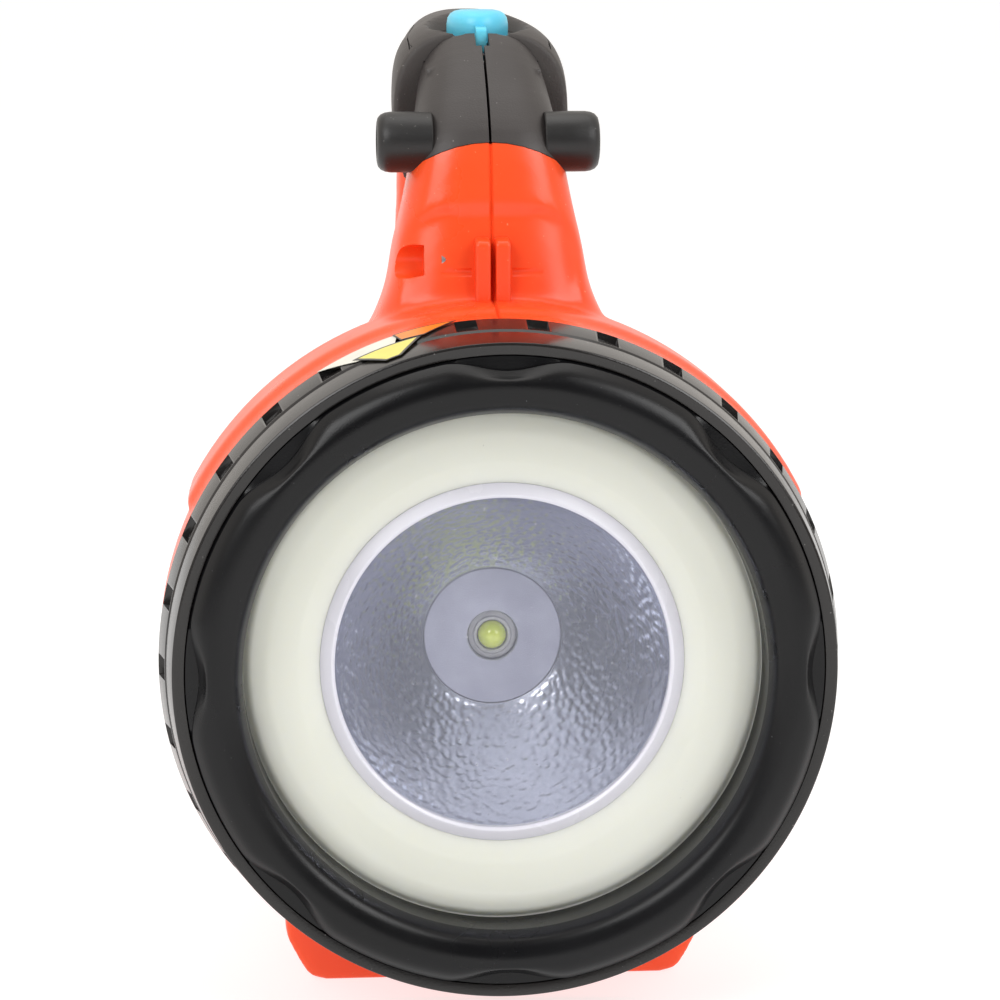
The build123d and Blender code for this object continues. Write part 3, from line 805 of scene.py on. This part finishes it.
def makeGripShells():
    front = lofted("gripFront", between(frontLeg[7:]))
    cutAt(front, place(0, grip["frontEnd"], 0), (0, 1, 0))
    bar = coreSolid("gripCore", 0)
    cutAt(bar, place(0, grip["rearStart"] + 0.5, 0), (0, 1, 0))
    combine(front, bar, "UNION")
    rear = lofted("gripRear", between(gripSpan[7:13]))
    cutAt(rear, place(0, grip["rearStart"], 0), (0, -1, 0))
    cutAt(rear, place(0, 0, 88.15), (0, 0, -1))
    combine(front, rear, "UNION")
    moulded(front, grip["voxel"], 5)
    combine(front, archSolid("archCut", post["archTop"], post["archRadius"], 0.12), "DIFFERENCE")
    combine(front, slab("channel", [(64, 97.5, 0), (86, 97.5, 0), (86, 106.5, 0), (64, 106.5, 0)], -9, 9),
            "DIFFERENCE")
    combine(front, slab("rearChannel", [(84, 97.5, 0), (144, 97.5, 0), (144, 102.5, 0), (84, 102.5, 0)],
                        -5, 5), "DIFFERENCE")
    combine(front, slab("leadWay", [(50.5, 90, 0), (65, 90, 0), (65, 103, 0), (50.5, 103, 0)], -5, 5),
            "DIFFERENCE")
    combine(front,
            lofted("buttonHole",
                   [oval(button["halfX"] + 0.4, button["halfY"] + 0.4, button["y"], z) for z in (104, 125)]),
            "DIFFERENCE")
    combine(front, slab("tongueSlot", [(58, 105.5, 0), (67, 105.5, 0), (67, 120, 0), (58, 120, 0)],
                        -1.3, 1.3), "DIFFERENCE")
    left, right = halves(front, "gripLeft", "gripRight", 0.45)
    for half in (left, right):
        smooth(half, 36)
    stand(left, "lamp", gripBlack, "grip_left")
    stand(right, "lamp", gripBlack, "grip_right")


def makeSleeve():
    sleeve = lofted("gripSleeve", between(gripSpan[:12]))
    cutAt(sleeve, place(0, grip["frontEnd"] + 0.15, 0), (0, -1, 0))
    cutAt(sleeve, place(0, grip["rearStart"] - 0.15, 0), (0, 1, 0))
    rearBlock = slab("rearBlock", [(140, 60, 0), (152, 60, 0), (152, 88.2, 0), (140, 88.2, 0)], -40, 40)
    combine(sleeve, rearBlock, "DIFFERENCE")
    dish = [oval(button["halfX"] + g, button["halfY"] + g * 0.9 + 1.4, button["y"], z)
            for z, g in ((104, 1.4), (109.5, 1.8), (112, 2.6), (114.2, 4.2), (118, 8.5))]
    combine(sleeve, lofted("dish", dish), "DIFFERENCE")
    moulded(sleeve, grip["voxel"], 6)
    combine(sleeve, coreSolid("coreRoom", 0.08), "DIFFERENCE")
    smooth(sleeve, 36)
    stand(sleeve, "lamp", sleeveRubber, "grip_sleeve")


def makeButton():
    rings = [oval(button["halfX"] * k, button["halfY"] * k, button["y"], z) for z, k in (
        (button["base"], 0.97), (button["base"] + 0.3, 1.0), (114.1, 1.0), (115.3, 0.965), (116.1, 0.88),
        (116.6, 0.74),
        (116.85, 0.55), (116.8, 0.36), (116.7, 0.18))]
    cap = lofted("pushButton", rings)
    tongue = slab("tongue", [(62.2, 108.8, 0.4), (67.5, 108.8, 0), (67.5, 113.9, 0), (62.2, 113.6, 0.9)],
                  -1.0, 1.0)
    combine(cap, tongue, "UNION")
    combine(cap, lofted("stem", [oval(1.8, 1.8, button["y"], z, 32) for z in (106.5, 112)]), "UNION")
    smooth(cap, 40)
    stand(cap, "button", buttonCyan, "power_button")


# The strap pegs' outline is (radius, x), from the root outwards
peg = {"y": 46, "z": 92.8, "points": 72, "outline": [
    (5.4, 10.6), (5.55, 10.8), (5.72, 14.95), (5.7, 18.4), (5.55, 19.4), (5.2, 20.2), (4.6, 20.75),
    (3.8, 20.95), (3.3, 20.98), (3.0, 20.75)]}


def makePegs():
    for side, name in ((-1, "left"), (1, "right")):
        rings = []
        for radius, x in peg["outline"]:
            around = circle(radius, peg["points"])
            rings.append([place(side * x, peg["y"] + a, peg["z"] + b) for a, b in around])
        knob = lofted("strapPeg" + name.capitalize(), rings)
        smooth(knob, 34)
        stand(knob, "lamp", pegBlack, "strap_peg_" + name)


makeGripShells()
makeSleeve()
makeButton()
makePegs()
print("grip made")


# Blank label on the ring

label = {"lift": 0.04, "layer": 0.09, "cell": 0.7}
patches = [
    {"corners": [(-32.0, 15.2), (-17.4, 15.2), (-19.0, 7.0), (-25.4, 9.2)], "border": 0.0, "tone": 0.5},
    {"corners": [(-25.8, 10.6), (-13.6, 10.6), (-17.9, 2.7), (-20.7, 2.5)], "border": 0.55, "tone": 0.3},
    {"corners": [(-18.2, 15.2), (-7.4, 15.2), (-13.2, 10.4), (-17.2, 10.9)], "border": 0.3, "tone": 0.9}]


def labelMaterial():
    # Printed film in plain patches with thin dark borders, no signs or words
    material, tree, shader = nodeMaterial("labelFilm")
    pattern = tree.nodes.new("ShaderNodeAttribute")
    pattern.attribute_name = "film"
    tones = ramp(tree, pattern.outputs["Fac"], [
        (0.0, (0.03, 0.03, 0.03)), (0.15, (0.03, 0.03, 0.03)), (0.2, (0.84, 0.76, 0.14)),
        (0.4, (0.84, 0.76, 0.14)), (0.45, (0.80, 0.79, 0.70)), (0.7, (0.80, 0.79, 0.70)),
        (0.8, (0.90, 0.25, 0.01)), (1.0, (0.90, 0.25, 0.01))])
    tones.color_ramp.interpolation = "CONSTANT"
    wear = noiseAt(tree, 190, 4.0)
    fade = ramp(tree, wear.outputs["Fac"], [(0.3, (1, 1, 1)), (0.72, (0.86, 0.85, 0.84))])
    mix = tree.nodes.new("ShaderNodeMix")
    mix.data_type = "RGBA"
    mix.blend_type = "MULTIPLY"
    mix.inputs["Factor"].default_value = 1.0
    tree.links.new(tones.outputs["Color"], mix.inputs["A"])
    tree.links.new(fade.outputs["Color"], mix.inputs["B"])
    tree.links.new(mix.outputs["Result"], shader.inputs["Base Color"])
    bump(tree, shader, wear.outputs["Fac"], 0.15, 0.0002)
    shader.inputs["Roughness"].default_value = 0.28
    return material


def ringRadius(y):
    return 60.2 + 2.55 * y / 15.2


def makePatch(patch, layer):
    # A flat grid trimmed to the patch's corners, then wrapped over the ring
    flat = [Vector((math.radians(angle) * 61.5, y, 0)) for angle, y in patch["corners"]]
    middle = sum(flat, Vector()) / len(flat)
    width = max(p.x for p in flat) - min(p.x for p in flat)
    depth = max(p.y for p in flat) - min(p.y for p in flat)
    cells = (int(width / label["cell"]), int(depth / label["cell"]))
    deselectAll()
    bpy.ops.mesh.primitive_grid_add(x_subdivisions=cells[0], y_subdivisions=cells[1], size=1)
    film = bpy.context.object
    film.name = "blankFilm"
    centre = Vector(((max(p.x for p in flat) + min(p.x for p in flat)) / 2,
                     (max(p.y for p in flat) + min(p.y for p in flat)) / 2, 0))
    for vertex in film.data.vertices:
        vertex.co = centre + Vector((vertex.co.x * width, vertex.co.y * depth, 0))
    sides = []
    for i, here in enumerate(flat):
        along = flat[(i + 1) % len(flat)] - here
        across = Vector((along.y, -along.x, 0)).normalized()
        if across.dot(here - middle) < 0:
            across = -across
        sides.append((here, across))
        for inset, trim in ((0, True), (patch["border"], False)):
            editAll(film)
            bpy.ops.mesh.bisect(plane_co=here - across * inset, plane_no=across, clear_outer=trim)
            leaveEdit()
    marks = film.data.attributes.new("film", "FLOAT", "FACE")
    for face in film.data.polygons:
        edge = max((face.center - here).dot(across) for here, across in sides)
        marks.data[face.index].value = 0.1 if edge > -patch["border"] else patch["tone"]
    for vertex in film.data.vertices:
        angle, y = vertex.co.x / 61.5, vertex.co.y
        radius = ringRadius(y) + label["lift"] + label["layer"] * layer
        vertex.co = place(radius * math.sin(angle), y, radius * math.cos(angle))
    applyModifier(film, "SOLIDIFY", thickness=label["layer"] * 0.001, offset=1.0)
    return film


def makeLabel():
    film = joined([makePatch(patch, layer) for layer, patch in enumerate(patches)])
    film.name = "blankFilm"
    smooth(film, 40)
    stand(film, "bezel", labelMaterial(), "blank_label")


makeLabel()


# CAD nodes that stay, with their finishes

finishes = {
    "lens_seal": sealRubber, "head_gasket": sealRubber, "star_board": satinDisc, "heat_sink": sinkMetal,
    "light_chassis": innerBlack, "ring_board": boardGreen, "ring_leds": ledYellow, "bulkhead": innerBlack,
    "standoffs": brass, "switch_module": innerBlack, "button_spring": screwSteel, "battery_cells": cellWrap,
    "cell_frames": innerBlack, "battery_tray": innerBlack, "control_board": boardGreen,
    "board_parts": chipBlack, "charge_contacts": brass, "rear_window": clearDisc,
    "housing_screws": screwSteel, "switch_lead": sealRubber, "lamp_lead": sealRubber}
for name, material in finishes.items():
    nodes[name].data.materials.clear()
    nodes[name].data.materials.append(material)
    smooth(nodes[name], 34)
print("finishes set")


# Floor, light and camera

studio = {
    "floorSize": 60, "floorGlow": 0.72, "front": 0.065, "key": 10, "fill": 9, "top": 5}


def makeFloor():
    deselectAll()
    bpy.ops.mesh.primitive_plane_add(size=studio["floorSize"], location=(0, 0, 0))
    floor = bpy.context.object
    floor.name = "floor"
    material, tree, shader = nodeMaterial("paleFloor")
    shader.inputs["Base Color"].default_value = (0.4, 0.4, 0.4, 1)
    shader.inputs["Roughness"].default_value = 0.9
    shader.inputs["Specular IOR Level"].default_value = 0.1
    shader.inputs["Emission Color"].default_value = (1, 1, 1, 1)
    shader.inputs["Emission Strength"].default_value = studio["floorGlow"]
    floor.data.materials.append(material)


def softLight(name, position, target, size, power):
    data = bpy.data.lights.new(name, "AREA")
    data.shape = "RECTANGLE"
    data.size, data.size_y = size
    data.energy = power
    light = bpy.data.objects.new(name, data)
    bpy.context.scene.collection.objects.link(light)
    light.location = position
    aim = Vector(target) - Vector(position)
    light.rotation_euler = aim.to_track_quat("-Z", "Y").to_euler()


def makeWorld():
    # White to the camera; for light, a dim room in front and a bright sweep beside, above and behind
    world = bpy.data.worlds.new("studio")
    bpy.context.scene.world = world
    world.use_nodes = True
    tree = world.node_tree
    plain = tree.nodes["Background"]
    plain.inputs["Color"].default_value = (1, 1, 1, 1)
    room = tree.nodes.new("ShaderNodeBackground")
    coords = tree.nodes.new("ShaderNodeTexCoord")
    split = tree.nodes.new("ShaderNodeSeparateXYZ")
    spread = tree.nodes.new("ShaderNodeMapRange")
    spread.inputs["From Min"].default_value = -1
    tree.links.new(coords.outputs["Generated"], split.inputs["Vector"])
    tree.links.new(split.outputs["Y"], spread.inputs["Value"])
    dim = studio["front"]
    sweep = ramp(tree, spread.outputs["Result"], [
        (0.0, (dim, dim, dim)), (0.14, (dim, dim, dim)), (0.34, (0.5, 0.47, 0.44)), (0.52, (1, 0.95, 0.89)),
        (1.0, (1, 0.95, 0.89))])
    tree.links.new(sweep.outputs["Color"], room.inputs["Color"])
    path = tree.nodes.new("ShaderNodeLightPath")
    mix = tree.nodes.new("ShaderNodeMixShader")
    tree.links.new(path.outputs["Is Camera Ray"], mix.inputs["Fac"])
    tree.links.new(room.outputs["Background"], mix.inputs[1])
    tree.links.new(plain.outputs["Background"], mix.inputs[2])
    tree.links.new(mix.outputs["Shader"], tree.nodes["World Output"].inputs["Surface"])


makeFloor()
makeWorld()
softLight("keyLight", (-0.78, -0.95, 0.95), (0, 0, 0.08), (0.8, 0.8), studio["key"])
softLight("fillLight", (0.86, -0.9, 0.85), (0, 0, 0.08), (0.7, 0.8), studio["fill"])
softLight("topLight", (0.0, 0.1, 1.5), (0, 0, 0.05), (1.2, 1.0), studio["top"])
bpy.context.scene.view_settings.view_transform = "Standard"

lookRight, lookDown = math.radians(4.56), math.radians(9.52)
eye = bpy.data.cameras.new("camera")
eye.lens = 123.2
eye.sensor_width = 36
camera = bpy.data.objects.new("camera", eye)
bpy.context.scene.collection.objects.link(camera)
camera.location = place(-49.2, -600, 132.9)
camera.rotation_euler = (math.pi / 2 - lookDown, 0, -lookRight)
bpy.context.scene.camera = camera

print("scene ready")
